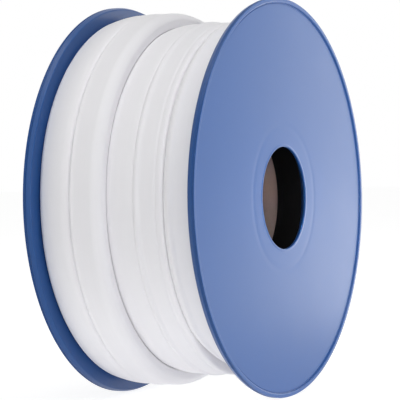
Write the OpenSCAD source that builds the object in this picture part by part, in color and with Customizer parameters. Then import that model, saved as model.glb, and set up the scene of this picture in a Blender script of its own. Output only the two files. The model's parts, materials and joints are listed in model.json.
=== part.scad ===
// Flanged reel of soft white gasket tape, standing on the rims of its two flanges.
// Millimetres. The axle runs along Y, the front flange faces -Y, and Z is up.
// The origin is the centre of the axle bore, midway between the flanges.

/* [Flanges] */
// Outer diameter of both flanges
flange_d = 200; // [196:1:260]
// Thickness of the flat web of a flange
web_t = 3.2; // [2.2:0.1:6]
// Height of the rim bead above the web's outer face
bead_h = 0.8; // [0.5:0.1:2]
// Radial width of the rim bead
bead_w = 2.2; // [1.6:0.1:4]
// Radius that rounds the corners of the rim
rim_round = 0.5; // [0.2:0.05:0.7]
// Width of the moulded groove just inside the bead
groove_w = 0.9; // [0.4:0.1:2]
// Depth of the moulded groove
groove_d = 0.5; // [0.2:0.1:1]

/* [Axle bore] */
// Diameter of the mandrel that carries the reel
mandrel_d = 50.8; // [40:0.1:56]
// Clearance of the bore on the mandrel's diameter
bore_clear = 0.5; // [0.2:0.1:1]
// Chamfer round the outer edge of the bore
bore_chamfer = 0.6; // [0.2:0.1:1]

/* [Core and hub collars] */
// Inner diameter of the cardboard core
core_inner_d = 76.2; // [74:0.1:78]
// Wall of the cardboard core
core_wall = 4; // [2:0.5:6]
// Wall of a hub collar
collar_wall = 3.5; // [2:0.1:4]
// Length of a hub collar, from the flange into the core
collar_l = 16.8; // [10:0.1:30]
// Lead-in chamfer on the buried end of a hub collar
collar_lead = 0.8; // [0.3:0.1:1.5]
// Radial clearance of a hub collar inside the core
collar_clear = 0.2; // [0.1:0.05:0.5]
// Radial width of the ring on the flange that centres its hub collar
centring_w = 2; // [1:0.1:3]
// Height of the centring ring
centring_h = 2; // [1:0.1:5]
// Radial clearance of the centring ring inside the hub collar
centring_clear = 0.15; // [0.05:0.05:0.4]

/* [Tape] */
// Width of the tape as it is wound
tape_w = 16.2; // [10:0.1:24]
// Thickness of the tape as it is wound
tape_t = 5.8; // [4:0.05:6.2]
// Gap between neighbouring turns
turn_gap = 0.6; // [0.5:0.05:1.5]
// Turns side by side between the flanges
lanes = 5; // [3:1:8]
// Whole layers below the outer turns
buried_layers = 7; // [3:1:7]
// Distance of the top turns from the rear flange
top_shift = 1.5; // [0:0.1:4]
// Softened corner along the outer edges of the tape
outer_soft = 1.4; // [0.5:0.1:2]
// Softened corner along the inner edges of the tape
inner_soft = 0.7; // [0.3:0.1:1.5]
// Slack between one wound layer and the next
layer_slack = 0.5; // [0.45:0.05:0.7]
// Slack between the lowest layer and the core
core_slack = 0.1; // [0.05:0.05:0.3]

/* [Winding] */
// Angle over which the top turn moves over to the next lane
top_move_span = 34; // [28:1:50]
// Angle over which the tape climbs onto the lower layer
climb_span = 24; // [20:1:40]
// Angle over which the turns of the lower layer move over
lane_move_span = 72; // [50:1:80]

/* [Free end] */
// Where the free end lifts off the roll, in degrees round the axle from the back towards the top
lift_angle = 70; // [60:1:85]
// Angle that the free end lies along
end_span = 30; // [15:1:40]
// Angle between the outer turns and the free end
end_gap = 0.6; // [0.4:0.1:2]
// Thickness of the adhesive under the free end
adhesive_t = 0.15; // [0.1:0.05:0.5]
// Width of the adhesive under the free end
adhesive_w = 12; // [6:0.5:16]
// Thickness of the release liner
liner_t = 0.15; // [0.1:0.05:0.5]
// Width of the release liner
liner_w = 14; // [8:0.5:16]
// Slack above and below the release liner
liner_slack = 0.2; // [0.2:0.05:0.5]

/* [Hidden] */
$fn = 180;
arc_steps = 4;

// Reel sizes that follow from the driving ones
flange_r = flange_d / 2;
bore_r = (mandrel_d + bore_clear) / 2;
lane_pitch = tape_w + turn_gap;
half_w = lanes * lane_pitch / 2;
web_top = half_w + web_t;
rim_top = web_top + bead_h;
core_r = core_inner_d / 2;
collar_od_r = core_r - collar_clear;
collar_id_r = collar_od_r - collar_wall;
centring_r = collar_id_r - centring_clear;

// Wound sizes: a buried pack, a whole layer on it and two top turns by the rear flange
pack_in_r = core_r + core_wall + core_slack;
pack_out_r = pack_in_r + buried_layers * tape_t;
layer_rise = tape_t + layer_slack;
low_r = pack_out_r + layer_slack;
top_r = low_r + layer_rise;
pack_edge = half_w - turn_gap / 2;

// The tape runs from the bottom up the viewer's side, over the top and down the back.
// Behind the top it goes from lane to lane and from layer to layer, one thing after another:
// the upper layer moves over, then the lower one climbs, then the lower lanes move over.
rest_gap = 2;
move_angle = lift_angle - end_span - rest_gap;
upper_move = [move_angle, move_angle - top_move_span];
climb = [upper_move[1], upper_move[1] - climb_span];
lower_move = [climb[1], climb[1] - lane_move_span];
start_angle = lower_move[1] + 360 - rest_gap;
climb_turn = lanes - 1;
top_turn = lanes;
last_turn = lanes + 1;
ring_step = 6;
rings_in_turn = 360 / ring_step;

// Eased step from 0 to 1
function ease(t) = let (c = min(max(t, 0), 1)) c * c * (3 - 2 * c);

// Eased step that a turn makes while its angle falls from span[0] to span[1]
function eased_over(angle, span) = ease((span[0] - angle) / (span[0] - span[1]));

// Middle of a lane, counted from the front flange, and of the two top turns
function lane_y(i) = (i - (lanes - 1) / 2) * lane_pitch;
top_y = lane_y(lanes - 1) - top_shift;
end_y = top_y - lane_pitch;

// Points of an arc between two angles
function arc(x, y, r, from, to) =
    [for (i = [0 : arc_steps]) let (a = from + (to - from) * i / arc_steps) [x + r * cos(a), y + r * sin(a)]];

// Turns a profile round the axle: its first axis is the radius, its second runs to the front flange
module turned(start = 0, angle = 360) {
    rotate([90, 0, 0])
        rotate([0, 0, start])
            rotate_extrude(angle = angle)
                children();
}

// Half section of a flange: bored web, groove, rim bead and centring ring
module flange_section() {
    bead_in = flange_r - bead_w;
    polygon(concat(
        [[bore_r, half_w], [bore_r, web_top - bore_chamfer], [bore_r + bore_chamfer, web_top]],
        [[bead_in - groove_w, web_top], [bead_in - groove_w, web_top - groove_d]],
        [[bead_in, web_top - groove_d]],
        arc(bead_in + rim_round, rim_top - rim_round, rim_round, 180, 90),
        arc(flange_r - rim_round, rim_top - rim_round, rim_round, 90, 0),
        arc(flange_r - rim_round, half_w + rim_round, rim_round, 0, -90),
        [[centring_r, half_w], [centring_r, half_w - centring_h]],
        [[centring_r - centring_w, half_w - centring_h], [centring_r - centring_w, half_w]]
    ));
}

module flange() {
    turned() flange_section();
}

module hub_collar() {
    buried = half_w - collar_l;
    turned() polygon([
        [collar_id_r, half_w], [collar_od_r, half_w],
        [collar_od_r, buried + collar_lead], [collar_od_r - collar_lead, buried], [collar_id_r, buried]
    ]);
}

module front_flange() {
    color("cornflowerblue") flange();
}

module rear_flange() {
    color("cornflowerblue") mirror([0, 1, 0]) flange();
}

module front_hub_collar() {
    color("black") hub_collar();
}

module rear_hub_collar() {
    color("black") mirror([0, 1, 0]) hub_collar();
}

module core_tube() {
    color("tan") turned() translate([core_r, -half_w]) square([core_wall, 2 * half_w]);
}

// The buried layers, wound tight on the core
module tape_inner_pack() {
    color("whitesmoke") turned()
        translate([pack_in_r, -pack_edge]) square([pack_out_r - pack_in_r, 2 * pack_edge]);
}

// Cross-section of the tape: distance across it, and height above its underside
tape_section = [
    [-tape_w / 2, inner_soft], [-tape_w / 2 + inner_soft, 0],
    [tape_w / 2 - inner_soft, 0], [tape_w / 2, inner_soft],
    [tape_w / 2, tape_t - outer_soft], [tape_w / 2 - outer_soft, tape_t],
    [-tape_w / 2 + outer_soft, tape_t], [-tape_w / 2, tape_t - outer_soft]
];
sides = len(tape_section);

// Middle of the tape across the reel: lower lanes to the rear, then the top turns back to the front
function path_y(turn, angle) =
    turn < climb_turn ? lane_y(turn) + lane_pitch * eased_over(angle, lower_move) :
    turn == climb_turn ? lane_y(turn) - top_shift * eased_over(angle, lower_move) :
    turn == top_turn ? top_y - lane_pitch * eased_over(angle, upper_move) : end_y;

// Underside of the tape
function path_r(turn, angle) =
    turn < climb_turn ? low_r : turn > climb_turn ? top_r : low_r + layer_rise * eased_over(angle, climb);

function tape_point(run, p) =
    let (turn = floor(run / 360), a = start_angle + 360 * turn - run, r = path_r(turn, a) + p[1])
    [r * cos(a), path_y(turn, a) + p[0], r * sin(a)];

last_run = 360 * last_turn + start_angle - lift_angle - end_gap;
rings = ceil(last_run / ring_step);
function ring_run(i) = min(i * ring_step, last_run);

tape_points = [for (i = [0 : rings], p = tape_section) tape_point(ring_run(i), p)];
tape_sides = [for (i = [0 : rings - 1], j = [0 : sides - 1], half = [0, 1])
    let (a = i * sides + j, b = i * sides + (j + 1) % sides)
    half == 0 ? [a, b, a + sides] : [b, b + sides, a + sides]];
tape_ends = [for (j = [1 : sides - 2], far = [0, 1])
    let (f = far * rings * sides) far == 0 ? [f, f + j + 1, f + j] : [f, f + j, f + j + 1]];

// Least gap of the tape to itself, over all pairs of rings at the same angle: across or through the layers
function ring_front(i) = tape_points[i * sides].y;
function ring_rear(i) = tape_points[i * sides + 3].y;
function ring_under(i) = let (p = tape_points[i * sides + 1]) norm([p.x, p.z]);
function ring_over(i) = let (p = tape_points[i * sides + 5]) norm([p.x, p.z]);
function ring_gap(i, j) = max(ring_front(j) - ring_rear(i), ring_front(i) - ring_rear(j),
                              ring_under(j) - ring_over(i), ring_under(i) - ring_over(j));
ring_gaps = [for (i = [0 : rings - 1], j = [i + rings_in_turn : rings_in_turn : rings - 1]) ring_gap(i, j)];
echo(least_gap_of_the_tape_to_itself = min(ring_gaps));

// One unbroken run of tape: the last whole layer, then the two top turns
module tape_outer_turns() {
    color("white") polyhedron(points = tape_points, faces = concat(tape_sides, tape_ends));
}

// The free end lies in the second top turn, over its adhesive and release liner
liner_r = low_r + tape_t + liner_slack;
adhesive_r = liner_r + liner_t + liner_slack;
end_r = adhesive_r + adhesive_t;
echo(lift_axis_x_z = [(end_r + tape_t) * cos(lift_angle), (end_r + tape_t) * sin(lift_angle)]);
echo(liner_axis_x_z = [(liner_r + liner_t) * cos(lift_angle), (liner_r + liner_t) * sin(lift_angle)]);
echo(bore_radius_and_wall_length = [bore_r, 2 * (web_top - bore_chamfer)]);
echo(tape_outer_radii = [low_r + tape_t, top_r + tape_t, end_r + tape_t]);

// Bends a section of one layer of the free end round the roll
module free_end_layer(inner_r) {
    turned(start = lift_angle - end_span, angle = end_span)
        translate([inner_r, -end_y])
            children();
}

module tape_free_end() {
    half = tape_w / 2;
    color("white") free_end_layer(end_r) polygon([
        [inner_soft, -half], [tape_t - outer_soft, -half], [tape_t, -half + outer_soft],
        [tape_t, half - outer_soft], [tape_t - outer_soft, half], [inner_soft, half],
        [0, half - inner_soft], [0, -half + inner_soft]
    ]);
}

module adhesive_strip() {
    color("ivory") free_end_layer(adhesive_r)
        translate([0, -adhesive_w / 2]) square([adhesive_t, adhesive_w]);
}

module release_liner() {
    color("wheat") free_end_layer(liner_r)
        translate([0, -liner_w / 2]) square([liner_t, liner_w]);
}

front_flange();
rear_flange();
front_hub_collar();
rear_hub_collar();
core_tube();
tape_inner_pack();
tape_outer_turns();
tape_free_end();
adhesive_strip();
release_liner();
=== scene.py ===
# %% [markdown]
# A reel of soft white gasket tape stands on the rims of its two blue flanges.
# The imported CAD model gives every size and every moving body, so the first cell loads it.
# The pieces that follow are modelled around that frame, in metres, where the CAD nodes are.

# %% Load the frame
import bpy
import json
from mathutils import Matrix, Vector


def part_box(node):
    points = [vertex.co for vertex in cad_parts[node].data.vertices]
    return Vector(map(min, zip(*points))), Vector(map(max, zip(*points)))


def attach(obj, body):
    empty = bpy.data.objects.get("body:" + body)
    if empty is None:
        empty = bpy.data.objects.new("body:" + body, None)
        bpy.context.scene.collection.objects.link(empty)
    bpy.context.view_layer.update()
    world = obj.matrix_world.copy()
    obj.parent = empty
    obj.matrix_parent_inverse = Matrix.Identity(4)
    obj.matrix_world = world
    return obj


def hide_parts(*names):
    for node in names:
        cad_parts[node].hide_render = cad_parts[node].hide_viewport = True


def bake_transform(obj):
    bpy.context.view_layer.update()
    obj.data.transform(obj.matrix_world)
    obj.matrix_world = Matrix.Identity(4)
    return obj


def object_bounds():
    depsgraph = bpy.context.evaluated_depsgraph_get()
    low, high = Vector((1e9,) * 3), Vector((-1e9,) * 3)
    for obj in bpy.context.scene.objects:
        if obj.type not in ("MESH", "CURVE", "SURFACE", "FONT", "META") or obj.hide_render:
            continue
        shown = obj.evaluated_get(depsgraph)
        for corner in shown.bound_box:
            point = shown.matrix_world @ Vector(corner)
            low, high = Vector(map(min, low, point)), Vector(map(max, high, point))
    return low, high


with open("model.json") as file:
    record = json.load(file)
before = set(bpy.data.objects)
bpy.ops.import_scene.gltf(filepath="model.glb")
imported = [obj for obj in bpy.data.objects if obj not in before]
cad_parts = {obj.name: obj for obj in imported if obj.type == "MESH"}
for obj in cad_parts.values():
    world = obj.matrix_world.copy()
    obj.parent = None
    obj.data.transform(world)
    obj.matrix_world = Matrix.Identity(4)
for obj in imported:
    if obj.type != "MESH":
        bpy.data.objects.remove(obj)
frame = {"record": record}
cad_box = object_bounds()

# %% Blender's own modules
import json
import math

import bmesh
import bpy
from mathutils import Matrix, Vector

MM = 0.001
TAU = 2 * math.pi
print("CAD box in mm:", [[round(c / MM, 1) for c in corner] for corner in cad_box])

# %% [markdown]
# The camera comes first, because every later look is judged through it.
# A wide lens close by would make the front flange much larger than the rear one. A long lens far
# from the reel gives the calm perspective of a product photograph, in which both flanges keep
# nearly the same height. The camera turns round the reel by two angles, rolls a little, and steps
# a few millimetres aside to set the reel in the frame.

# %% Where the camera stands
VIEW_AZIMUTH = math.radians(-62.65)
VIEW_ELEVATION = math.radians(1.0)
VIEW_ROLL = math.radians(-1.12)
VIEW_DISTANCE = 950 * MM
VIEW_SIDESTEP = -2.27 * MM
VIEW_RISE = -0.66 * MM

level_back = Vector((math.sin(VIEW_AZIMUTH), -math.cos(VIEW_AZIMUTH), 0))
level_right = Vector((math.cos(VIEW_AZIMUTH), math.sin(VIEW_AZIMUTH), 0))
back = level_back * math.cos(VIEW_ELEVATION) + Vector((0, 0, math.sin(VIEW_ELEVATION)))
right = Matrix.Rotation(VIEW_ROLL, 3, back) @ level_right
up = back.cross(right)
camera_place = back * VIEW_DISTANCE + right * VIEW_SIDESTEP + up * VIEW_RISE
print("camera at", [round(c, 3) for c in camera_place])

# %% Camera
LENS_LENGTH = 166.8
SENSOR_WIDE = 36.0
camera_data = bpy.data.cameras.new("camera")
camera_data.lens = LENS_LENGTH
camera_data.sensor_width = SENSOR_WIDE
camera = bpy.data.objects.new("camera", camera_data)
bpy.context.collection.objects.link(camera)
camera_turn = Matrix((right, up, back)).transposed().to_4x4()
camera.matrix_world = Matrix.Translation(camera_place) @ camera_turn
bpy.context.scene.camera = camera
print("lens", LENS_LENGTH, "mm on a sensor of", SENSOR_WIDE, "mm")

# %% [markdown]
# Sizes are read from the frame's nodes, so the pieces always fit the CAD model.
# The radius of a turned node is half its box, and its ends along the axle are the box's Y limits.

# %% Sizes from the frame
def radius_of(node):
    low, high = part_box(node)
    return (high.x - low.x) / 2


def ends_of(node):
    low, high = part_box(node)
    return low.y, high.y


FLANGE_R = radius_of("front_flange")
HALF_WIDTH = ends_of("core_tube")[1]
RIM_TOP = ends_of("rear_flange")[1]
CORE_OUT = radius_of("core_tube")
COLLAR_OUT = radius_of("front_hub_collar")
COLLAR_END = ends_of("rear_hub_collar")[0]
PACK_R = radius_of("tape_inner_pack")
PACK_EDGE = ends_of("tape_inner_pack")[1]
TOP_R = radius_of("tape_outer_turns")
BORE_R = frame["record"]["mounts"][0]["dims"]["r_mm"] * MM
print("flange radius", round(FLANGE_R, 4), "half width", round(HALF_WIDTH, 4), "bore", BORE_R)

# %% [markdown]
# Every piece ends the same way: its bmesh becomes a mesh, gets its material, rides on a body and
# hides the CAD nodes it stands for. One function does that, so a later cell only shapes a bmesh.
# A spin can leave faces inside out, so normals are recalculated once the doubles are merged.
# Weighted normals keep large flat faces flat where they meet small rounded corners.

# %% Finish a piece
MERGE_WITHIN = 1e-6
FLAT_FACE_WEIGHT = 80


def finish_piece(name, bm, material, body, nodes=(), weighted=True):
    bmesh.ops.remove_doubles(bm, verts=bm.verts, dist=MERGE_WITHIN)
    bmesh.ops.recalc_face_normals(bm, faces=bm.faces)
    for face in bm.faces:
        face.smooth = True
    mesh = bpy.data.meshes.new(name)
    bm.to_mesh(mesh)
    bm.free()
    mesh.materials.append(material)
    piece = bpy.data.objects.new(name, mesh)
    bpy.context.collection.objects.link(piece)
    if weighted:
        piece.modifiers.new("even shading", "WEIGHTED_NORMAL").weight = FLAT_FACE_WEIGHT
    if body:
        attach(piece, body)
    if nodes:
        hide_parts(*nodes)
    print(name, len(mesh.polygons), "faces")
    return piece


print("vertices closer than", MERGE_WITHIN / MM, "mm are merged")

# %% [markdown]
# Flanges, collars, core and buried tape are all round, as if turned on a lathe. Boolean cuts in a
# cylinder would leave long thin triangles, so an outline of radius and distance along the axle is
# spun round Y instead. Its corners are rounded first, while a bevel still costs a few vertices.

# %% Turn an outline round the axle
CORNER_STEPS = 5
ROUND_STEPS = 192


def bevel_corners(bm, verts, offset, segments):
    bmesh.ops.bevel(bm, geom=verts, offset=offset, offset_type="OFFSET", affect="VERTICES",
                    segments=segments, profile=0.5, material=-1)


def turned_outline(outline, side=1, steps=ROUND_STEPS):
    """Spin a closed outline of (radius, distance, corner radius), in metres, round the axle."""
    bm = bmesh.new()
    corners = [(bm.verts.new((r, side * y, 0)), soft) for r, y, soft in outline]
    verts = [v for v, _ in corners]
    for a, b in zip(verts, verts[1:] + verts[:1]):
        bm.edges.new((a, b))
    for soft in sorted({s for _, s in corners if s}):
        bevel_corners(bm, [v for v, s in corners if s == soft], soft, CORNER_STEPS)
    bmesh.ops.spin(bm, geom=bm.verts[:] + bm.edges[:], cent=(0, 0, 0), axis=(0, 1, 0),
                   angle=TAU, steps=steps, use_merge=True)
    return bm


print("a step round the axle is", 360 / ROUND_STEPS, "degrees")

# %% [markdown]
# Materials share a few helpers. The first turns an sRGB hex colour, as an eye-dropper gives it,
# into the linear numbers that shader sockets take. The second adds one node with its settings and
# links, and the third gives the texture scale for a feature of so many millimetres.

# %% Helpers for materials
def linear(hex_colour):
    parts = [int(hex_colour[i:i + 2], 16) / 255 for i in (1, 3, 5)]
    return [c / 12.92 if c <= 0.04045 else ((c + 0.055) / 1.055) ** 2.4 for c in parts] + [1.0]


def add(tree, kind, inputs=None, **settings):
    node = tree.nodes.new("ShaderNode" + kind)
    for name, value in settings.items():
        setattr(node, name, value)
    for socket, value in (inputs or {}).items():
        if isinstance(value, bpy.types.NodeSocket):
            tree.links.new(value, node.inputs[socket])
        else:
            node.inputs[socket].default_value = value
    return node


def per_mm(size):
    return 1 / (size * MM)


print("sRGB mid grey is", round(linear("#808080")[0], 3), "in linear light")

# %% Begin and end a material
def start_material(name):
    material = bpy.data.materials.new(name)
    material.use_nodes = True
    tree = material.node_tree
    tree.nodes.clear()
    print("material:", name)
    return material, tree


def end_material(tree, shader_inputs):
    shader = add(tree, "BsdfPrincipled", shader_inputs)
    add(tree, "OutputMaterial", {"Surface": shader.outputs["BSDF"]})


# %% [markdown]
# The flanges are injection moulded in high-impact polystyrene, in a mould with a fine satin
# finish. That finish is far too fine to draw, so roughness stands for it: the plastic shows a
# broad pale reflection without edges, over a deeper blue where it turns away from the light. The
# pigment drifts a little as the melt flows outwards, over some 60 mm, and the gloss varies over
# some 18 mm with handling. Polystyrene has an index of 1.59, and the satin finish weakens its
# gloss.

# %% Moulded polystyrene, satin blue
MELT_FLOW = 60
HANDLING = 18


def moulded_polystyrene():
    # It gives the eye a clean even blue that pales softly towards the light.
    material, tree = start_material("polystyrene moulded satin blue")
    at = add(tree, "TexCoord").outputs["Object"]
    flow = add(tree, "TexNoise", {"Vector": at, "Scale": per_mm(MELT_FLOW),
                                  "Detail": 2.0}).outputs["Fac"]
    colour = add(tree, "Mix", {"Factor": flow, "A": linear("#1E4A86"), "B": linear("#224E8B")},
                 data_type="RGBA")
    worn = add(tree, "TexNoise", {"Vector": at, "Scale": per_mm(HANDLING),
                                  "Detail": 3.0}).outputs["Fac"]
    # Below about 0.28 the render's noise filter takes a spot for a mirror and draws its outline.
    rough = add(tree, "MapRange", {"Value": worn, "To Min": 0.285, "To Max": 0.335})
    end_material(tree, {"Base Color": colour.outputs["Result"],
                        "Roughness": rough.outputs["Result"], "IOR": 1.59,
                        "Specular IOR Level": 0.2})
    return material


blue_plastic = moulded_polystyrene()

# %% [markdown]
# The hub collars are black polypropylene, moulded with a matt grain, and sit in the shade of the
# bore. The grain of such a mould is about 0.1 mm, which is too fine to show, so it is drawn
# coarser.

# %% Moulded polypropylene, matt black
BLACK_GRAIN = 1.2


def moulded_black():
    # It gives the eye a dark ring with hardly any shine.
    material, tree = start_material("polypropylene moulded matt black")
    at = add(tree, "TexCoord").outputs["Object"]
    grain = add(tree, "TexNoise", {"Vector": at, "Scale": per_mm(BLACK_GRAIN), "Detail": 3.0})
    colour = add(tree, "Mix", {"Factor": grain.outputs["Fac"], "A": linear("#030304"),
                               "B": linear("#060607")}, data_type="RGBA")
    bump = add(tree, "Bump", {"Height": grain.outputs["Fac"], "Strength": 0.3,
                              "Distance": 0.02 * MM})
    end_material(tree, {"Base Color": colour.outputs["Result"], "Roughness": 0.55, "IOR": 1.49,
                        "Specular IOR Level": 0.1, "Normal": bump.outputs["Normal"]})
    return material


black_plastic = moulded_black()

# %% [markdown]
# The core is spiral-wound board: strips of grey-brown paper are glued on a slant round a mandrel,
# so a thin seam climbs round the inside of the tube. The seam's phase is the angle round the axle
# plus the distance along it, which a few Math nodes give without any UV map. Paper fibres are
# thinner than a tenth of a millimetre, so they are drawn as flecks of about a millimetre.

# %% Slanted seam of the board
SEAM_PITCH = 62 * MM
SEAM_SHARE = 0.012


def seam_mask(tree, at):
    """One over the board, falling to nought in the seam."""
    split = add(tree, "SeparateXYZ", {"Vector": at}).outputs
    angle = add(tree, "Math", {0: split["Z"], 1: split["X"]}, operation="ARCTAN2").outputs[0]
    turns = add(tree, "Math", {0: angle, 1: 1 / TAU}, operation="MULTIPLY").outputs[0]
    climb = add(tree, "Math", {0: split["Y"], 1: 1 / SEAM_PITCH, 2: turns},
                operation="MULTIPLY_ADD").outputs[0]
    ply = add(tree, "Math", {0: climb}, operation="FRACT").outputs[0]
    return add(tree, "MapRange", {"Value": ply, "From Min": 0.0,
                                  "From Max": SEAM_SHARE}).outputs["Result"]


seam_wide = SEAM_PITCH * SEAM_SHARE
print("one strip is", round(SEAM_PITCH / MM), "mm wide, its seam", round(seam_wide / MM, 2), "mm")

# %% Spiral-wound board
BOARD_FLECK = 1.1
BOARD_CLOUD = 14
FLECK_SHARE = 0.25


def wound_board():
    # It gives the eye a dull, slightly patchy grey-brown with one slanted line.
    material, tree = start_material("paper board spiral wound grey-brown")
    at = add(tree, "TexCoord").outputs["Object"]
    seam = seam_mask(tree, at)
    fibre = add(tree, "TexNoise", {"Vector": at, "Scale": per_mm(BOARD_FLECK),
                                   "Detail": 4.0}).outputs["Fac"]
    cloud = add(tree, "TexNoise", {"Vector": at, "Scale": per_mm(BOARD_CLOUD),
                                   "Detail": 2.0}).outputs["Fac"]
    pulp = add(tree, "Mix", {"Factor": fibre, "A": linear("#A68E8B"), "B": linear("#B49C99")},
               data_type="RGBA")
    shade = add(tree, "Mix", {"Factor": cloud, "A": pulp.outputs["Result"], "B": linear("#AC9491")},
                data_type="RGBA")
    lined = add(tree, "Mix", {"Factor": seam, "A": linear("#625350"), "B": shade.outputs["Result"]},
                data_type="RGBA")
    height = add(tree, "Math", {0: fibre, 1: FLECK_SHARE, 2: seam},
                 operation="MULTIPLY_ADD").outputs[0]
    bump = add(tree, "Bump", {"Height": height, "Strength": 0.6, "Distance": 0.12 * MM})
    end_material(tree, {"Base Color": lined.outputs["Result"], "Roughness": 0.85, "IOR": 1.5,
                        "Normal": bump.outputs["Normal"]})
    return material


board = wound_board()

# %% [markdown]
# The tape is expanded PTFE: a white, spongy strip with a dry, silky surface. Stretching it in the
# works leaves fine streaks along its length, so the pattern follows the tape's own UV map, which
# holds millimetres along and across. Light sinks a little way into the pores, which softens shade.
# Real pores and fibres measure a few hundredths of a millimetre. They are drawn some twenty times
# coarser, so that a close view still shows a streaked and porous surface.

# %% Expanded PTFE
STREAK = (45, 0.9)
CLOUDING = (30, 12)
PORE = 0.8


def expanded_ptfe():
    # It gives the eye a soft, almost shadowless white, a shade cooler than paper.
    material, tree = start_material("expanded ptfe stretched silky white")
    tape_mm = add(tree, "UVMap", uv_map="tape").outputs["UV"]
    lengthwise = add(tree, "Mapping", {"Vector": tape_mm,
                                       "Scale": (1 / STREAK[0], 1 / STREAK[1], 1)})
    streak = add(tree, "TexNoise", {"Vector": lengthwise.outputs["Vector"], "Scale": 1.0,
                                    "Detail": 3.0}).outputs["Fac"]
    patchy = add(tree, "Mapping", {"Vector": tape_mm,
                                   "Scale": (1 / CLOUDING[0], 1 / CLOUDING[1], 1)})
    cloud = add(tree, "TexNoise", {"Vector": patchy.outputs["Vector"], "Scale": 1.0,
                                   "Detail": 2.0}).outputs["Fac"]
    pore = add(tree, "TexNoise", {"Vector": tape_mm, "Scale": 1 / PORE,
                                  "Detail": 3.0}).outputs["Fac"]
    tint = add(tree, "Mix", {"Factor": cloud, "A": linear("#F1F0F3"), "B": linear("#F5F4F7")},
               data_type="RGBA")
    base = add(tree, "Mix", {"Factor": streak, "A": tint.outputs["Result"], "B": linear("#F6F5F8")},
               data_type="RGBA")
    soft = add(tree, "Bump", {"Height": streak, "Strength": 0.4, "Distance": 0.05 * MM})
    bump = add(tree, "Bump", {"Height": pore, "Strength": 0.3, "Distance": 0.03 * MM,
                              "Normal": soft.outputs["Normal"]})
    end_material(tree, {"Base Color": base.outputs["Result"], "Roughness": 0.62, "IOR": 1.35,
                        "Subsurface Weight": 0.15, "Subsurface Radius": (1, 1, 1),
                        "Subsurface Scale": 1.5 * MM, "Sheen Weight": 0.08,
                        "Normal": bump.outputs["Normal"]})
    return material


white_tape = expanded_ptfe()

# %% [markdown]
# A flange is one moulding. Its rim carries a thin bead on the outer face, with a groove inside it
# and a notch behind it, and the rim's side then rises to a ridge and falls with the mould's draft.
# All of that is a few points of an outline, so no cut or extra piece is needed. The bead and the
# notch give the rim its light and dark lines.

# %% Rim of a flange
WEB_TOP = RIM_TOP - 0.8 * MM
BEAD_IN = FLANGE_R - 2.2 * MM
BEAD_FOOT = RIM_TOP - 0.45 * MM
GROOVE_IN = BEAD_IN - 0.7 * MM
GROOVE_FLOOR = WEB_TOP - 0.25 * MM
RIDGE_AT = HALF_WIDTH + 2.3 * MM
NOTCH_R = FLANGE_R - 0.7 * MM
NOTCH_WIDE = 0.7 * MM
DRAFT = 0.9 * MM
SLANT = 0.1 * MM
NOTCH_SLANT = 0.15 * MM
FINE_SOFT = 0.2 * MM
BEAD_SOFT_IN = 0.4 * MM
BEAD_SOFT_OUT = 0.25 * MM
FOOT_SOFT = 0.1 * MM
RIDGE_SOFT = 0.3 * MM
INNER_RIM_SOFT = 0.5 * MM

rim = [
    (GROOVE_IN, WEB_TOP, FINE_SOFT), (GROOVE_IN + 2 * SLANT, GROOVE_FLOOR, 0),
    (BEAD_IN - SLANT, GROOVE_FLOOR, 0), (BEAD_IN + SLANT, RIM_TOP, BEAD_SOFT_IN),
    (FLANGE_R - SLANT, RIM_TOP, BEAD_SOFT_OUT), (FLANGE_R - SLANT, BEAD_FOOT, FOOT_SOFT),
    (NOTCH_R, BEAD_FOOT - NOTCH_SLANT, 0), (NOTCH_R, BEAD_FOOT - NOTCH_WIDE, 0),
    (FLANGE_R, RIDGE_AT, RIDGE_SOFT), (FLANGE_R - DRAFT, HALF_WIDTH, INNER_RIM_SOFT),
]
print("rim bead", round((FLANGE_R - BEAD_IN) / MM, 2), "mm wide")

# %% [markdown]
# Round the bore the outer face has a fine raised lip, and the bore's wall is a short land that
# opens out behind it. A little further out lies a sink mark: a ring a few hundredths deep, where
# the plastic shrank over the ring that centres the hub collar inside. The rear flange is the same
# outline mirrored along the axle.

# %% Web and bore of a flange
BORE_LIP = 0.12 * MM
LIP_WIDE = 0.9 * MM
LIP_FALL = 0.5 * MM
LIP_SOFT = 0.3 * MM
BORE_SOFT = 0.35 * MM
BORE_LAND = 1.1 * MM
BORE_RELIEF = 3.0 * MM
SINK_R = COLLAR_OUT - 1.7 * MM
SINK_HALF = 1.9 * MM
SINK_DEEP = 0.06 * MM
SINK_SOFT = 0.9 * MM
CENTRING_OUT = COLLAR_OUT - 3.65 * MM
CENTRING_IN = CENTRING_OUT - 2 * MM
CENTRING_END = HALF_WIDTH - 2 * MM

bore_edge = [
    (BORE_R + BORE_RELIEF, HALF_WIDTH, 0), (BORE_R, WEB_TOP - BORE_LAND, FINE_SOFT),
    (BORE_R, WEB_TOP + BORE_LIP, BORE_SOFT), (BORE_R + LIP_WIDE, WEB_TOP + BORE_LIP, LIP_SOFT),
    (BORE_R + LIP_WIDE + LIP_FALL, WEB_TOP, FINE_SOFT),
]
sink_ring = [
    (SINK_R - SINK_HALF, WEB_TOP, SINK_SOFT), (SINK_R, WEB_TOP - SINK_DEEP, SINK_SOFT),
    (SINK_R + SINK_HALF, WEB_TOP, SINK_SOFT),
]
centring_ring = [
    (CENTRING_OUT, HALF_WIDTH, 0), (CENTRING_OUT, CENTRING_END, FINE_SOFT),
    (CENTRING_IN, CENTRING_END, FINE_SOFT), (CENTRING_IN, HALF_WIDTH, 0),
]
flange_outline = bore_edge + sink_ring + rim + centring_ring
print("a flange's outline has", len(flange_outline), "corners")

# %% Flanges
FLANGE_STEPS = 256
finish_piece("front_flange_shell", turned_outline(flange_outline, side=-1, steps=FLANGE_STEPS),
             blue_plastic, "reel", ["front_flange"])
finish_piece("rear_flange_shell", turned_outline(flange_outline, side=1, steps=FLANGE_STEPS),
             blue_plastic, "reel", ["rear_flange"])

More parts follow.
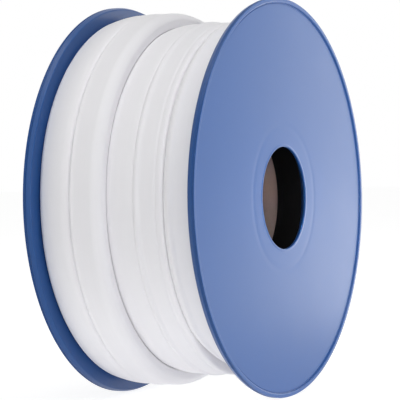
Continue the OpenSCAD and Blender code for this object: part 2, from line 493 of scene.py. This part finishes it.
# %% [markdown]
# A hub collar is a plain ring that is pressed into each end of the core and holds the flange on.
# It fits over the flange's centring ring with a little clearance, and its inner end is rounded so
# that it slides into the board.

# %% Hub collars
COLLAR_PLAY = 0.15 * MM
COLLAR_IN = CENTRING_OUT + COLLAR_PLAY
COLLAR_SOFT_OUT = 0.8 * MM
COLLAR_SOFT_IN = 0.4 * MM
COLLAR_STEPS = 160
collar_outline = [
    (COLLAR_IN, HALF_WIDTH, 0), (COLLAR_OUT, HALF_WIDTH, 0),
    (COLLAR_OUT, COLLAR_END, COLLAR_SOFT_OUT), (COLLAR_IN, COLLAR_END, COLLAR_SOFT_IN),
]
finish_piece("front_collar_ring", turned_outline(collar_outline, side=-1, steps=COLLAR_STEPS),
             black_plastic, "reel", ["front_hub_collar"])
finish_piece("rear_collar_ring", turned_outline(collar_outline, side=1, steps=COLLAR_STEPS),
             black_plastic, "reel", ["rear_hub_collar"])

# %% [markdown]
# The core is a board tube with a wall of 4 mm, cut square, so its edges are hardly rounded.

# %% Core
CORE_WALL = 4 * MM
CORE_IN = CORE_OUT - CORE_WALL
CORE_EDGE = 0.3 * MM
core_outline = [(r, y, CORE_EDGE) for r, y in (
    (CORE_IN, -HALF_WIDTH), (CORE_OUT, -HALF_WIDTH), (CORE_OUT, HALF_WIDTH), (CORE_IN, HALF_WIDTH))]
finish_piece("board_core", turned_outline(core_outline), board, "reel", ["core_tube"])

# %% [markdown]
# The outer turns are one long strip of tape, wound side by side in five lanes. When the last lane
# is full the tape climbs on top of itself, goes once more round beside the rear flange, moves one
# lane forward and ends. Single rings would be easier, but they would not join up on the far side.
# So the strip follows a path: after so many degrees of winding it has an angle, a place along the
# axle and a radius. The changes of lane all happen behind the top, on the side away from the
# camera.

# %% Tape, lanes and layers
TAPE_T = 5.8 * MM
TAPE_W = 16.2 * MM
TURN_GAP = 0.6 * MM
PITCH = TAPE_W + TURN_GAP
LANES = 5
LAYER_SLACK = 0.5 * MM
LOW_R = PACK_R + LAYER_SLACK
RISE = TAPE_T + LAYER_SLACK
TOP_SHIFT = 1.5 * MM
CLIMB_TURN = LANES - 1
TOP_TURN = LANES


def lane_y(i):
    return (i - (LANES - 1) / 2) * PITCH


TOP_Y = lane_y(LANES - 1) - TOP_SHIFT
END_Y = TOP_Y - PITCH
print("lanes at", [round(lane_y(i) / MM, 1) for i in range(LANES)], "mm")
print("the tape ends at", round(END_Y / MM, 1), "mm")

# %% Angles at which the tape changes lane
lift_axis = frame["record"]["behaviour"]["joints"][0]["pos_m"]
LIFT_ANGLE = round(math.degrees(math.atan2(lift_axis[2], lift_axis[0])), 2)
ROOT_SPAN = 14
END_SPAN = 30
REST_GAP = 2
UPPER_SPAN = 34
CLIMB_SPAN = 24
LOWER_SPAN = 72
ROOT_ANGLE = LIFT_ANGLE + ROOT_SPAN
END_ANGLE = LIFT_ANGLE - END_SPAN - REST_GAP
UPPER_MOVE = (END_ANGLE, END_ANGLE - UPPER_SPAN)
CLIMB = (UPPER_MOVE[1], UPPER_MOVE[1] - CLIMB_SPAN)
LOWER_MOVE = (CLIMB[1], CLIMB[1] - LOWER_SPAN)
START_ANGLE = LOWER_MOVE[1] + 360 - REST_GAP
END_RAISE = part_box("tape_free_end")[1].z / math.sin(math.radians(LIFT_ANGLE)) - TOP_R
print("the end lifts at", LIFT_ANGLE, "degrees, the first turn starts at", START_ANGLE)

# %% Path of the winding
def ease(t):
    c = min(max(t, 0), 1)
    return c * c * (3 - 2 * c)


def eased_over(angle, span):
    return ease((span[0] - angle) / (span[0] - span[1]))


def path(run):
    """Angle in degrees, place along the axle and radius of the underside, after so many degrees."""
    turn = int(run // 360)
    angle = START_ANGLE + 360 * turn - run
    if turn < CLIMB_TURN:
        return angle, lane_y(turn) + PITCH * eased_over(angle, LOWER_MOVE), LOW_R
    if turn == CLIMB_TURN:
        shift = TOP_SHIFT * eased_over(angle, LOWER_MOVE)
        return angle, lane_y(turn) - shift, LOW_R + RISE * eased_over(angle, CLIMB)
    if turn == TOP_TURN:
        return angle, TOP_Y - PITCH * eased_over(angle, UPPER_MOVE), LOW_R + RISE
    lifted = END_RAISE * ease((ROOT_ANGLE - angle) / (ROOT_ANGLE - LIFT_ANGLE))
    return angle, END_Y, LOW_R + RISE + lifted


print("the path starts at", [round(c, 3) for c in path(0)])

# %% [markdown]
# The strip starts as a straight bar, because its section is easy to draw there: a rectangle with
# soft corners, extruded to the whole length and cut into slices of about two degrees. The tape is
# spongy and fills its lane, so the bar is a little wider and deeper than the tape's own section.
# Its front upper corner is softer than the rear one, which the next turn holds in place. The upper
# face gets many lengthwise cuts, which later carry the relief of the wound surface.

# %% Section of the bar
REAR_SOFT = 0.8 * MM
FRONT_SOFT = 1.5 * MM
INNER_SOFT = 0.4 * MM
LANE_FILL = 0.28 * MM
SEAT_FILL = LAYER_SLACK - 0.05 * MM
BAR_HALF = TAPE_W / 2 + LANE_FILL
UPPER_CUTS = 31
REAR_STEPS, FRONT_STEPS, INNER_STEPS = 5, 6, 3


def bar_section(bm, at):
    low_front, low_rear, high_rear, high_front = [
        bm.verts.new((at, y, z)) for y, z in ((-BAR_HALF, -SEAT_FILL), (BAR_HALF, -SEAT_FILL),
                                              (BAR_HALF, TAPE_T), (-BAR_HALF, TAPE_T))]
    bm.faces.new((low_front, low_rear, high_rear, high_front))
    bevel_corners(bm, [high_rear], REAR_SOFT, REAR_STEPS)
    bevel_corners(bm, [high_front], FRONT_SOFT, FRONT_STEPS)
    bevel_corners(bm, [low_front, low_rear], INNER_SOFT, INNER_STEPS)
    upper = [e for e in bm.edges if min(v.co.z for v in e.verts) > TAPE_T - MERGE_WITHIN]
    bmesh.ops.subdivide_edges(bm, edges=upper, cuts=UPPER_CUTS)


print("section", round(2 * BAR_HALF / MM, 2), "by", round((TAPE_T + SEAT_FILL) / MM, 2), "mm")

# %% Bar of tape
LONG_EDGE = 1


def slice_lengthwise(bm, slices):
    lengthwise = [e for e in bm.edges if abs(e.verts[0].co.x - e.verts[1].co.x) > LONG_EDGE]
    bmesh.ops.subdivide_edges(bm, edges=lengthwise, cuts=slices - 1, use_grid_fill=True)


def tape_bar(first_run, last_run, slices):
    """A straight bar with soft corners: X is degrees of winding, Y across, Z height."""
    bm = bmesh.new()
    bar_section(bm, first_run)
    made = bmesh.ops.extrude_face_region(bm, geom=bm.faces[:])
    far = [g for g in made["geom"] if isinstance(g, bmesh.types.BMVert)]
    bmesh.ops.translate(bm, verts=far, vec=(last_run - first_run, 0, 0))
    slice_lengthwise(bm, slices)
    for cut_end in [f for f in bm.faces if len(f.verts) > 4]:
        for edge in cut_end.edges:
            edge.smooth = False
    return bm


def add_tape_uv(bm):
    """Millimetres along and across the tape, read before the bar is wrapped."""
    layer = bm.loops.layers.uv.new("tape")
    per_degree = math.radians(1) * LOW_R / MM
    for face in bm.faces:
        for loop in face.loops:
            place = loop.vert.co
            loop[layer].uv = (place.x * per_degree, (place.y + place.z) / MM)


print("a degree of winding is", round(math.radians(1) * LOW_R / MM, 2), "mm of tape")

# %% [markdown]
# Soft tape under tension does not keep its plain section, and that relief is what shows on the
# roll. Each turn dips at its front edge. Where a turn presses on the one behind it, its rear edge
# swells to a rounded lip and spreads towards it. A bump map would give the shading of these forms
# but not their outline, so the vertices themselves are moved. Turns are counted from the front
# lane, 0, to the free end, 6. A table gives a depth for each turn that departs from the plain
# form, and the depth fades off across the tape over a reach.

# %% Front edges of the turns
USUAL_REACH = 4.6 * MM
FRONT_REACH = {1: 3.6 * MM, 6: 5.6 * MM}
FRONT_DROP = {0: 0.8 * MM, 1: 1.2 * MM, 2: 0.45 * MM, 3: 1.0 * MM, 4: 0.8 * MM, 5: 1.0 * MM,
              6: 2.9 * MM}
CREASE_AT = 5.6 * MM
CREASE_HALF = 0.5 * MM
CREASE_DEEP = {1: 0.35 * MM}
# Turn 0 has swollen sideways and squeezes the front edge of turn 1 back, with a slit between them.
SQUEEZE_REACH = 6 * MM
SQUEEZE = {1: 1.8 * MM}
print("deepest front edge", max(FRONT_DROP.values()) / MM, "mm")

# %% Rear edges of the turns
# Turns 4 and 5, beside the rear flange, slope to it, and turn 2 is pressed down by the top layer.
REAR_REACH = 13 * MM
REAR_DROP = {4: 2.5 * MM, 5: 2.5 * MM}
PRESS_REACH = 9 * MM
PRESS_DROP = {2: 1.9 * MM}
# A lip rises near the rear edge, falls again at the edge itself, and spreads to the neighbour.
# Turn 5 spreads towards the rear flange as well, and its fallen edge leaves a crevice there.
LIP_HIGH = {0: 0.95 * MM, 1: 0.8 * MM, 6: 0.4 * MM}
LIP_AT = {0: 1.9 * MM, 1: 1.3 * MM, 6: 1.0 * MM}
LIP_HALF = {0: 1.5 * MM, 1: 1.2 * MM, 6: 1.0 * MM}
EDGE_REACH = 1.9 * MM
EDGE_DROP = {0: 0.6 * MM, 5: 1.5 * MM, 6: 1.0 * MM}
OVERLAP_REACH = 4 * MM
OVERLAP = {0: 1.55 * MM, 1: 0.9 * MM, 5: 1.3 * MM}
print("highest lip", max(LIP_HIGH.values()) / MM, "mm")

# %% How a depth fades across and along the tape
def by_turn(table, turn, angle, usual=0):
    """A turn's value, which passes into the next turn's while the tape changes lane."""
    here, after = table.get(turn, usual), table.get(turn + 1, usual)
    return here + (after - here) * eased_over(angle, LOWER_MOVE)


def slope_off(distance, reach):
    return max(0, 1 - distance / reach) ** 2


def bell(distance, half):
    return math.exp(-(distance / half) ** 2)


print("a slope is down to", slope_off(0.5, 1), "half way along its reach")

# %% [markdown]
# Three smaller things make the winding look hand-fed. The pull on the tape was uneven, so its
# height and place waver by about a tenth of a millimetre. The top turns settle into the gap below
# them. And the first turn comes up from the layer below it near the bottom, so its rear side is
# still narrow and sunk there, which leaves a wedge of shade beside the second turn.

# %% Relief of the soft tape
WAVE_DEEP = 0.06 * MM
WAVES_ROUND = 5
TOP_SEAT = 3.7
SEAT_FADE = 10
START_FLARE = (222, 260)
START_NARROW = 0.9
START_SINK = 3.0 * MM


def seated(height, turn, angle):
    """The underside of the top turns sinks further, up to the root of the free end."""
    if height < 0 and turn >= TOP_TURN:
        height *= TOP_SEAT
    if height < 0 and turn > TOP_TURN:
        height *= ease((angle - ROOT_ANGLE) / SEAT_FADE)
    return height


def relief(turn, angle, to_front, to_rear):
    """How far the upper face lies below its plain height."""
    reach = by_turn(FRONT_REACH, turn, angle, USUAL_REACH)
    lip_at = by_turn(LIP_AT, turn, angle, MM)
    lip_half = by_turn(LIP_HALF, turn, angle, MM)
    dip = by_turn(FRONT_DROP, turn, angle) * slope_off(to_front, reach)
    dip += by_turn(REAR_DROP, turn, angle) * slope_off(to_rear, REAR_REACH)
    dip += by_turn(EDGE_DROP, turn, angle) * slope_off(to_rear, EDGE_REACH)
    dip += by_turn(PRESS_DROP, turn, angle) * slope_off(to_rear, PRESS_REACH)
    dip += by_turn(CREASE_DEEP, turn, angle) * bell(to_front - CREASE_AT, CREASE_HALF)
    dip -= by_turn(LIP_HIGH, turn, angle) * bell(to_rear - lip_at, lip_half)
    return dip + WAVE_DEEP * math.sin(math.radians(WAVES_ROUND * angle) + turn)


def shaped(run, across, height):
    """Place across and height of a point of the bar, with the relief of the wound tape."""
    turn = int(run // 360)
    angle = START_ANGLE + 360 * turn - run
    height = seated(height, turn, angle)
    to_front, to_rear = BAR_HALF + across, BAR_HALF - across
    dip = relief(turn, angle, to_front, to_rear)
    spread = by_turn(OVERLAP, turn, angle) * slope_off(to_rear, OVERLAP_REACH)
    if turn == TOP_TURN:
        # It stops spreading where it moves away from the flange.
        spread *= 1 - eased_over(angle, UPPER_MOVE)
    across += spread + by_turn(SQUEEZE, turn, angle) * slope_off(to_front, SQUEEZE_REACH)
    if turn == 0:
        near_start = ease((angle - START_FLARE[0]) / (START_FLARE[1] - START_FLARE[0]))
        dip += START_SINK * near_start * max(0, across / BAR_HALF) ** 2
        across -= START_NARROW * near_start * max(0, across)
    return across, height - dip * max(0, height / TAPE_T)


print("middle of the first lane:", [round(c / MM, 2) for c in shaped(100, 0, TAPE_T)], "mm")

# %% [markdown]
# Now the bar is wound: each vertex keeps its place across and its height, with the relief, and the
# path turns its distance along the bar into a place on the roll. One mesh holds all outer turns.

# %% Wrap a bar round the roll
WAVE_SIDE = 0.12 * MM
# Each wave has a share, a number of waves round the roll, and a phase.
SIDE_WAVES = ((1.0, 3, 0.4), (0.6, 7, 1.9))


def wrap(bm):
    for v in bm.verts:
        angle, y, r = path(v.co.x)
        a = math.radians(angle)
        across, height = shaped(*v.co)
        radius = r + height
        sway = WAVE_SIDE * sum(share * math.sin(n * a + phase) for share, n, phase in SIDE_WAVES)
        v.co = Vector((radius * math.cos(a), y + across + sway, radius * math.sin(a)))


most_sway = WAVE_SIDE * sum(share for share, _, _ in SIDE_WAVES)
print("the tape sways by less than", round(most_sway / MM, 2), "mm")

# %% Outer turns
DEGREES_PER_SLICE = 2
last_run = 360 * (TOP_TURN + 1) + START_ANGLE - ROOT_ANGLE
turns_bar = tape_bar(0, last_run, int(last_run / DEGREES_PER_SLICE))
add_tape_uv(turns_bar)
wrap(turns_bar)
finish_piece("wound_tape", turns_bar, white_tape, "reel", ["tape_outer_turns"],
             weighted=False)
print("wound length", round(math.radians(last_run) * LOW_R, 2), "m")

# %% [markdown]
# Below the outer turns lie all the earlier layers. Nothing of them shows but a dark depth in the
# gaps, so one turned piece stands for them, with a notch under each gap between two lanes.

# %% Buried tape
LANE_NOTCH = 0.9 * MM
NOTCH_SOFT = 0.4 * MM
PACK_SOFT = 1 * MM
PACK_PLAY = 0.1 * MM
PACK_IN = CORE_OUT + PACK_PLAY
pack_outline = [(PACK_IN, -PACK_EDGE, 0), (PACK_R, -PACK_EDGE, PACK_SOFT)]
for i in range(1, LANES):
    gap = lane_y(i) - PITCH / 2
    pack_outline += [(PACK_R, gap - LANE_NOTCH, NOTCH_SOFT), (PACK_R - LANE_NOTCH, gap, 0),
                     (PACK_R, gap + LANE_NOTCH, NOTCH_SOFT)]
pack_outline += [(PACK_R, PACK_EDGE, PACK_SOFT), (PACK_IN, PACK_EDGE, 0)]
pack_bm = turned_outline(pack_outline)
add_tape_uv(pack_bm)
finish_piece("buried_tape", pack_bm, white_tape, "reel", ["tape_inner_pack"])

# %% [markdown]
# The last stretch of the tape lifts off the roll. It is a bar like the rest, wrapped on the same
# path, which eases it up from its root in the soft bend of a spongy strip.

# %% Free end
END_SLICES = 44
end_run = last_run + ROOT_ANGLE - LIFT_ANGLE + END_SPAN
end_bar = tape_bar(last_run, end_run, END_SLICES)
add_tape_uv(end_bar)
wrap(end_bar)
free_end = finish_piece("lifting_end", end_bar, white_tape, None, ["tape_free_end"],
                        weighted=False)


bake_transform(free_end)

# %% [markdown]
# The tape is self-adhesive: under its free end lies a film of acrylic adhesive, cast on in a thin
# wet coat that dries with a faint orange peel of about 3 mm, tacky and half glossy.

# %% Cast acrylic adhesive
ORANGE_PEEL = 3


def acrylic_film():
    # It gives the eye a creamy film with a soft wet shine.
    material, tree = start_material("acrylic adhesive cast film")
    at = add(tree, "TexCoord").outputs["Object"]
    peel = add(tree, "TexNoise", {"Vector": at, "Scale": per_mm(ORANGE_PEEL),
                                  "Detail": 2.0}).outputs["Fac"]
    colour = add(tree, "Mix", {"Factor": peel, "A": linear("#D9D3BE"), "B": linear("#E2DDCB")},
                 data_type="RGBA")
    bump = add(tree, "Bump", {"Height": peel, "Strength": 0.3, "Distance": 0.05 * MM})
    end_material(tree, {"Base Color": colour.outputs["Result"], "Roughness": 0.3, "IOR": 1.47,
                        "Normal": bump.outputs["Normal"]})
    return material


adhesive_film = acrylic_film()

# %% [markdown]
# Kraft paper with a coat of silicone protects the adhesive. Calendering presses it smooth, so it
# has a satin shine over flecked fibre. The flecks are drawn at about a millimetre, coarser than
# fibre is.

# %% Siliconised kraft paper
PAPER_FLECK = 0.9


def siliconised_paper():
    # It gives the eye a straw-coloured paper that is smoother than it looks.
    material, tree = start_material("kraft paper calendered siliconised")
    at = add(tree, "TexCoord").outputs["Object"]
    fibre = add(tree, "TexNoise", {"Vector": at, "Scale": per_mm(PAPER_FLECK),
                                   "Detail": 4.0}).outputs["Fac"]
    colour = add(tree, "Mix", {"Factor": fibre, "A": linear("#D8C49A"), "B": linear("#E3D2AC")},
                 data_type="RGBA")
    bump = add(tree, "Bump", {"Height": fibre, "Strength": 0.3, "Distance": 0.02 * MM})
    end_material(tree, {"Base Color": colour.outputs["Result"], "Roughness": 0.42, "IOR": 1.45,
                        "Normal": bump.outputs["Normal"]})
    return material


liner_paper = siliconised_paper()

# %% [markdown]
# Film and paper are thin strips that follow the roll. Each starts as a cube of the node's width
# and thickness, is sliced along its length and bent over the free end's angles.

# %% Strips under the free end
STRIP_SLICES = 30


def bent_strip(node):
    low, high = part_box(node)
    outer = high.z / math.sin(math.radians(LIFT_ANGLE))
    inner = low.z / math.sin(math.radians(LIFT_ANGLE - END_SPAN))
    bm = bmesh.new()
    bmesh.ops.create_cube(bm, size=1)
    bmesh.ops.scale(bm, verts=bm.verts, vec=(END_SPAN, high.y - low.y, outer - inner))
    slice_lengthwise(bm, STRIP_SLICES)
    for v in bm.verts:
        a = math.radians(LIFT_ANGLE - END_SPAN / 2 - v.co.x)
        radius = (inner + outer) / 2 + v.co.z
        across = (low.y + high.y) / 2 + v.co.y
        v.co = Vector((radius * math.cos(a), across, radius * math.sin(a)))
    print(node, "is", round((outer - inner) / MM, 2), "mm thick")
    return bm


# %% Adhesive film and liner
film = finish_piece("adhesive_film", bent_strip("adhesive_strip"), adhesive_film, None,
                    ["adhesive_strip"])
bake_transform(film)
paper = finish_piece("liner_paper_strip", bent_strip("release_liner"), liner_paper, None,
                     ["release_liner"])
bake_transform(paper)

# %% [markdown]
# The reel stands on a pale floor in a white room. Strong lamps would whiten the floor but burn out
# the white tape, so the floor is white by its own material: where the camera or a reflection sees
# it, it glows just below white and still takes the reel's shadow. Towards other rays it is a white
# card with a faint glow, which fills the shade under the roll.

# %% How the floor and the room are seen
def seen_and_mirrored(tree):
    """Is a surface seen by the camera or in a reflection, and is it seen in a reflection."""
    ray = add(tree, "LightPath").outputs
    mirrored = add(tree, "Math", {0: ray["Is Glossy Ray"], 1: ray["Is Transmission Ray"]},
                   operation="MAXIMUM").outputs[0]
    seen = add(tree, "Math", {0: ray["Is Camera Ray"], 1: mirrored}, operation="MAXIMUM").outputs[0]
    return seen, mirrored


def grey(level):
    return (level, level, level, 1)


print("white is", grey(1))

# %% Floor
FLOOR_HALF = 8
CARD_WHITE = 0.9
FILL_GLOW = 0.35
NEAR, FAR = 0.2, 0.9
GLOW_NEAR, GLOW_FAR = 0.87, 0.97
SHADOW_GREY = 0.35


def pale_floor():
    # It gives the eye a white ground that dims a little close to the reel.
    material, tree = start_material("card painted matt white")
    seen, mirrored = seen_and_mirrored(tree)
    card = add(tree, "BsdfDiffuse", {"Color": grey(CARD_WHITE)}).outputs[0]
    fill = add(tree, "Emission", {"Color": grey(1), "Strength": FILL_GLOW}).outputs[0]
    unseen_side = add(tree, "AddShader", {0: card, 1: fill}).outputs[0]
    at = add(tree, "TexCoord").outputs["Object"]
    away = add(tree, "VectorMath", {0: at}, operation="LENGTH").outputs["Value"]
    fade = add(tree, "MapRange", {"Value": away, "From Min": NEAR, "From Max": FAR,
                                  "To Min": GLOW_NEAR, "To Max": GLOW_FAR}).outputs["Result"]
    glow = add(tree, "Emission", {"Color": grey(1), "Strength": fade}).outputs[0]
    shade = add(tree, "Mix", {"Factor": mirrored, "A": grey(SHADOW_GREY), "B": grey(CARD_WHITE)},
                data_type="RGBA")
    matt = add(tree, "BsdfDiffuse", {"Color": shade.outputs["Result"]}).outputs[0]
    seen_side = add(tree, "AddShader", {0: glow, 1: matt}).outputs[0]
    both = add(tree, "MixShader", {0: seen, 1: unseen_side, 2: seen_side})
    add(tree, "OutputMaterial", {"Surface": both.outputs[0]})
    return material


floor_bm = bmesh.new()
bmesh.ops.create_grid(floor_bm, x_segments=2, y_segments=2, size=FLOOR_HALF)
bmesh.ops.translate(floor_bm, verts=floor_bm.verts, vec=(0, 0, cad_box[0].z))
floor = finish_piece("floor", floor_bm, pale_floor(), None, weighted=False)

# %% White surround
ROOM_LIGHT = 0.03
world = bpy.data.worlds.new("white surround")
bpy.context.scene.world = world
world.use_nodes = True
room = world.node_tree
room.nodes.clear()
room_seen = seen_and_mirrored(room)[0]
level = add(room, "MapRange", {"Value": room_seen, "To Min": ROOM_LIGHT, "To Max": 1.0})
air = add(room, "Background", {"Color": grey(1), "Strength": level.outputs["Result"]})
add(room, "OutputWorld", {"Surface": air.outputs[0]})
print("surround lights the reel at", ROOM_LIGHT)

# %% [markdown]
# Soft lamps do the rest, each at a plain level. A tall box on the left rakes across the tape and
# shows its relief, and two boxes overhead light the top and the front. A box in front of the blue
# face brings out its colour. Two small strips beside it put the pale reflection on its right
# half, as a window would. A small box with a grid, which narrows its beam, looks into the bore
# from beside the camera and lights the board.

# %% Lamps
def softbox(name, place, target, size, power, spread=180):
    lamp = bpy.data.lights.new(name, "AREA")
    lamp.shape = "RECTANGLE"
    lamp.size, lamp.size_y = size
    lamp.energy = power
    lamp.spread = math.radians(spread)
    box = bpy.data.objects.new(name, lamp)
    box.location = place
    box.rotation_euler = (Vector(target) - Vector(place)).to_track_quat("-Z", "Y").to_euler()
    box.visible_camera = False
    bpy.context.collection.objects.link(box)
    print(name, power, "W")


MIDDLE = (0, 0, 0)
softbox("tall left softbox", (-1.28, -0.4, 0.7), MIDDLE, (0.5, 1.6), 5.0)
softbox("overhead softbox", (-0.3, -0.05, 1.4), MIDDLE, (1.0, 1.0), 8.2)
softbox("overhead front softbox", (-0.4, -0.75, 1.2), MIDDLE, (0.8, 0.6), 4.5)
softbox("front softbox", (0.1, -1.4, 0.05), MIDDLE, (0.7, 0.3), 12.6)
softbox("side strip", (0.4, -0.14, 0.08), (0, -0.05, 0.08), (0.17, 0.16), 0.195)
softbox("low side strip", (0.4, -0.14, -0.05), (0, -0.05, -0.05), (0.17, 0.1), 0.165)
softbox("gridded bore light", (-0.7, -0.45, 0.06), (0, -0.045, 0), (0.05, 0.05), 0.0035, spread=6)

# %% [markdown]
# The Standard view shows colours as they are written.

# %% Look settings
bpy.context.scene.view_settings.view_transform = "Standard"
